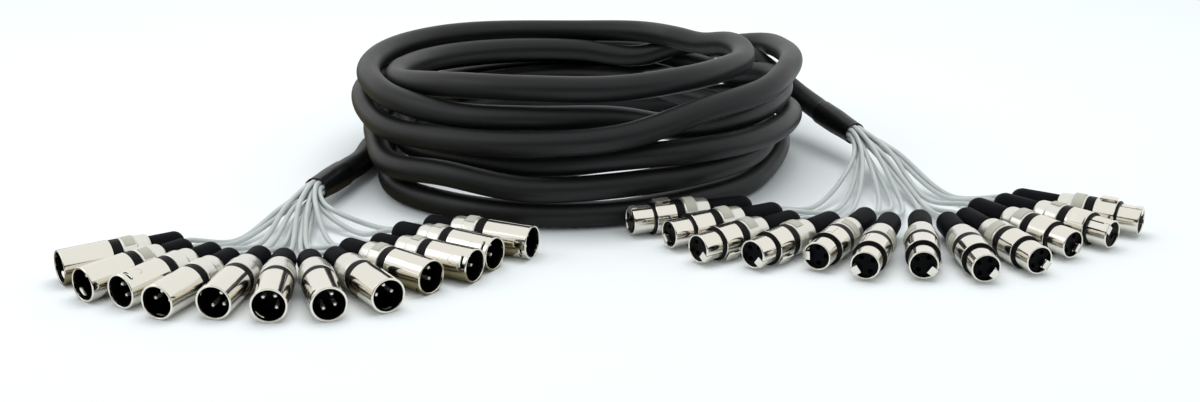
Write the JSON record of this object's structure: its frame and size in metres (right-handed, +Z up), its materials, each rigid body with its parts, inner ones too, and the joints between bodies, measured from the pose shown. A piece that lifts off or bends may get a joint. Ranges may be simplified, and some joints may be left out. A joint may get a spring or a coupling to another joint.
{
  "type": "stage box snake",
  "caption": "Coiled multicore stage cable snake with shrink sleeves, thin tails, latching round cable sockets at one end and pin plugs at the other.",
  "frame": {"origin": "on the floor under the middle of the laid-out snake's outline", "axes": "+Z up, -Y towards the side on which both fans of connectors lie, +X from the plugs' end to the sockets' end"},
  "size_m": [0.6046, 0.4318, 0.0889],
  "materials": {
    "trunk_jacket": "satin",
    "shrink_sleeve": "gloss",
    "tail_jacket": "satin",
    "nickel_shell": "polished nickel plate",
    "insert_and_boot": "matt",
    "nickel_socket": "polished nickel plate",
    "latch_steel": "bright"
  },
  "bodies": {
    "snake": {"trunk": "trunk_jacket", "shrink_sleeve_plug_end": "shrink_sleeve", "tails_plug_end": "tail_jacket", "shrink_sleeve_socket_end": "shrink_sleeve", "tails_socket_end": "tail_jacket", "plug_01_shell": "nickel_shell", "plug_01_insert_cap_boot": "insert_and_boot", "plug_02_shell": "nickel_shell", "plug_02_insert_cap_boot": "insert_and_boot", "plug_03_shell": "nickel_shell", "plug_03_insert_cap_boot": "insert_and_boot", "plug_04_shell": "nickel_shell", "plug_04_insert_cap_boot": "insert_and_boot", "plug_05_shell": "nickel_shell", "plug_05_insert_cap_boot": "insert_and_boot", "plug_06_shell": "nickel_shell", "plug_06_insert_cap_boot": "insert_and_boot", "plug_07_shell": "nickel_shell", "plug_07_insert_cap_boot": "insert_and_boot", "plug_08_shell": "nickel_shell", "plug_08_insert_cap_boot": "insert_and_boot", "plug_09_shell": "nickel_shell", "plug_09_insert_cap_boot": "insert_and_boot", "plug_10_shell": "nickel_shell", "plug_10_insert_cap_boot": "insert_and_boot", "plug_11_shell": "nickel_shell", "plug_11_insert_cap_boot": "insert_and_boot", "plug_12_shell": "nickel_shell", "plug_12_insert_cap_boot": "insert_and_boot", "socket_01_body": "nickel_socket", "socket_02_body": "nickel_socket", "socket_03_body": "nickel_socket", "socket_04_body": "nickel_socket", "socket_05_body": "nickel_socket", "socket_06_body": "nickel_socket", "socket_07_body": "nickel_socket", "socket_08_body": "nickel_socket", "socket_09_body": "nickel_socket", "socket_10_body": "nickel_socket", "socket_11_body": "nickel_socket", "socket_12_body": "nickel_socket"},
    "latch_01": {"socket_01_latch": "latch_steel"},
    "latch_02": {"socket_02_latch": "latch_steel"},
    "latch_03": {"socket_03_latch": "latch_steel"},
    "latch_04": {"socket_04_latch": "latch_steel"},
    "latch_05": {"socket_05_latch": "latch_steel"},
    "latch_06": {"socket_06_latch": "latch_steel"},
    "latch_07": {"socket_07_latch": "latch_steel"},
    "latch_08": {"socket_08_latch": "latch_steel"},
    "latch_09": {"socket_09_latch": "latch_steel"},
    "latch_10": {"socket_10_latch": "latch_steel"},
    "latch_11": {"socket_11_latch": "latch_steel"},
    "latch_12": {"socket_12_latch": "latch_steel"}
  },
  "joints": [
    {"name": "latch_01_press", "type": "hinge", "parent": "snake", "child": "latch_01", "pos_m": [0.02911, -0.08202, 0.01665], "axis": [0.3371, -0.9415, 0], "range_deg": [0, 3.5], "stiffness_Nm_per_rad": 0.1},
    {"name": "latch_02_press", "type": "hinge", "parent": "snake", "child": "latch_02", "pos_m": [0.04631, -0.09568, 0.00444], "axis": [-0.3428, 0.6184, 0.7071], "range_deg": [0, 3.5], "stiffness_Nm_per_rad": 0.1},
    {"name": "latch_03_press", "type": "hinge", "parent": "snake", "child": "latch_03", "pos_m": [0.06489, -0.12453, 0.0054], "axis": [-0.3523, 0.4526, -0.8192], "range_deg": [0, 3.5], "stiffness_Nm_per_rad": 0.1},
    {"name": "latch_04_press", "type": "hinge", "parent": "snake", "child": "latch_04", "pos_m": [0.0922, -0.1301, 0.0054], "axis": [-0.4091, 0.402, -0.8192], "range_deg": [0, 3.5], "stiffness_Nm_per_rad": 0.1},
    {"name": "latch_05_press", "type": "hinge", "parent": "snake", "child": "latch_05", "pos_m": [0.11161, -0.12175, 0.00888], "axis": [-0.0748, 0.0448, 0.9962], "range_deg": [0, 3.5], "stiffness_Nm_per_rad": 0.1},
    {"name": "latch_06_press", "type": "hinge", "parent": "snake", "child": "latch_06", "pos_m": [0.13207, -0.13483, 0.0054], "axis": [-0.5369, 0.2018, 0.8192], "range_deg": [0, 3.5], "stiffness_Nm_per_rad": 0.1},
    {"name": "latch_07_press", "type": "hinge", "parent": "snake", "child": "latch_07", "pos_m": [0.16995, -0.13596, 0.0054], "axis": [-0.5659, 0.0937, -0.8192], "range_deg": [0, 3.5], "stiffness_Nm_per_rad": 0.1},
    {"name": "latch_08_press", "type": "hinge", "parent": "snake", "child": "latch_08", "pos_m": [0.19613, -0.1389, 0.0054], "axis": [-0.572, -0.043, -0.8192], "range_deg": [0, 3.5], "stiffness_Nm_per_rad": 0.1},
    {"name": "latch_09_press", "type": "hinge", "parent": "snake", "child": "latch_09", "pos_m": [0.22028, -0.12721, 0.0054], "axis": [-0.5376, -0.1999, -0.8192], "range_deg": [0, 3.5], "stiffness_Nm_per_rad": 0.1},
    {"name": "latch_10_press", "type": "hinge", "parent": "snake", "child": "latch_10", "pos_m": [0.23965, -0.10473, 0.0054], "axis": [-0.4805, -0.3132, -0.8192], "range_deg": [0, 3.5], "stiffness_Nm_per_rad": 0.1},
    {"name": "latch_11_press", "type": "hinge", "parent": "snake", "child": "latch_11", "pos_m": [0.25398, -0.09852, 0.0141], "axis": [0.4724, 0.4359, 0.766], "range_deg": [0, 3.5], "stiffness_Nm_per_rad": 0.1},
    {"name": "latch_12_press", "type": "hinge", "parent": "snake", "child": "latch_12", "pos_m": [0.27726, -0.07786, 0.01665], "axis": [0.5461, 0.8377, 0], "range_deg": [0, 3.5], "stiffness_Nm_per_rad": 0.1}
  ]
}
